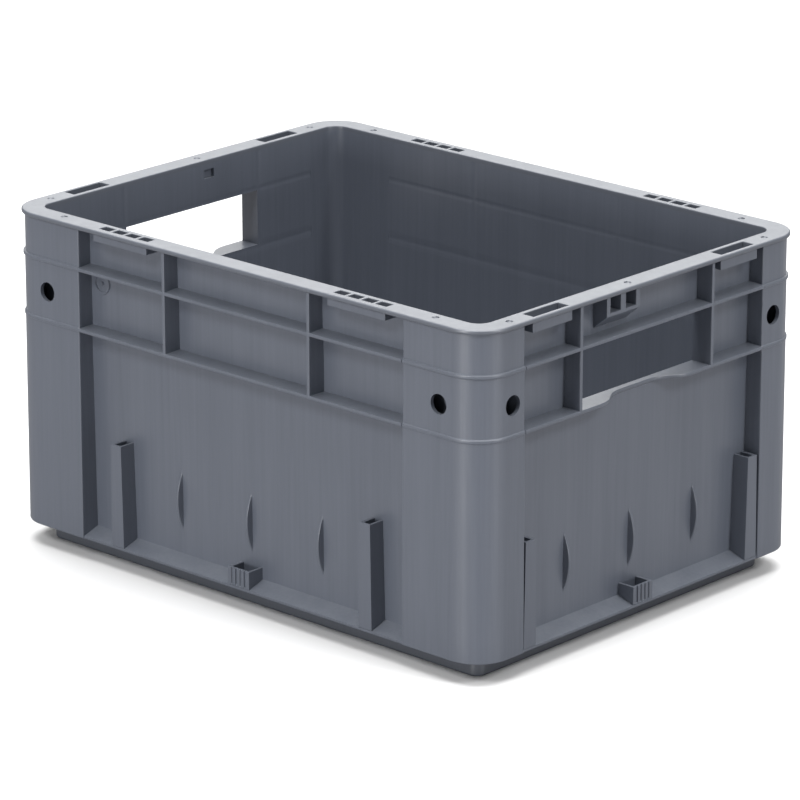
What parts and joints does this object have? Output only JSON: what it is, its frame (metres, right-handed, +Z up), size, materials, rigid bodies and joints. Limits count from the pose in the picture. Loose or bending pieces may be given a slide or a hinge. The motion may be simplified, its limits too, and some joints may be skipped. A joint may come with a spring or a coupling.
{
  "type": "stacking plastic crate",
  "caption": "Rigid stackable plastic crate with ribbed drafted walls, hollow corner posts, open hand holes in the short ends and a nesting foot.",
  "frame": {"origin": "middle of the base tray's underside, on the surface that the crate stands on", "axes": "+X along the long side to the right end, +Y along the short side to the back, +Z up"},
  "size_m": [0.4, 0.3, 0.22],
  "materials": {
    "moulded_plastic": "satin moulded polypropylene"
  },
  "bodies": {
    "root": {"base_tray": "moulded_plastic", "buttress_back_a": "moulded_plastic", "buttress_back_b": "moulded_plastic", "buttress_front_a": "moulded_plastic", "buttress_front_b": "moulded_plastic", "buttress_left_a": "moulded_plastic", "buttress_left_b": "moulded_plastic", "buttress_right_a": "moulded_plastic", "buttress_right_b": "moulded_plastic", "corner_post_back_left": "moulded_plastic", "corner_post_back_right": "moulded_plastic", "corner_post_front_left": "moulded_plastic", "corner_post_front_right": "moulded_plastic", "end_jamb_left_a": "moulded_plastic", "end_jamb_left_b": "moulded_plastic", "end_jamb_right_a": "moulded_plastic", "end_jamb_right_b": "moulded_plastic", "end_panel_left": "moulded_plastic", "end_panel_right": "moulded_plastic", "end_rail_left": "moulded_plastic", "end_rail_right": "moulded_plastic", "floor_panel": "moulded_plastic", "label_holder_left": "moulded_plastic", "label_holder_right": "moulded_plastic", "ledge_block_back": "moulded_plastic", "ledge_block_front": "moulded_plastic", "ledge_block_left": "moulded_plastic", "ledge_block_right": "moulded_plastic", "long_wall_back": "moulded_plastic", "long_wall_front": "moulded_plastic", "pocket_well_left_a": "moulded_plastic", "pocket_well_left_b": "moulded_plastic", "pocket_well_right_a": "moulded_plastic", "pocket_well_right_b": "moulded_plastic", "rim_frame": "moulded_plastic", "slot_well_back_a": "moulded_plastic", "slot_well_back_b": "moulded_plastic", "slot_well_front_a": "moulded_plastic", "slot_well_front_b": "moulded_plastic"}
  },
  "joints": []
}
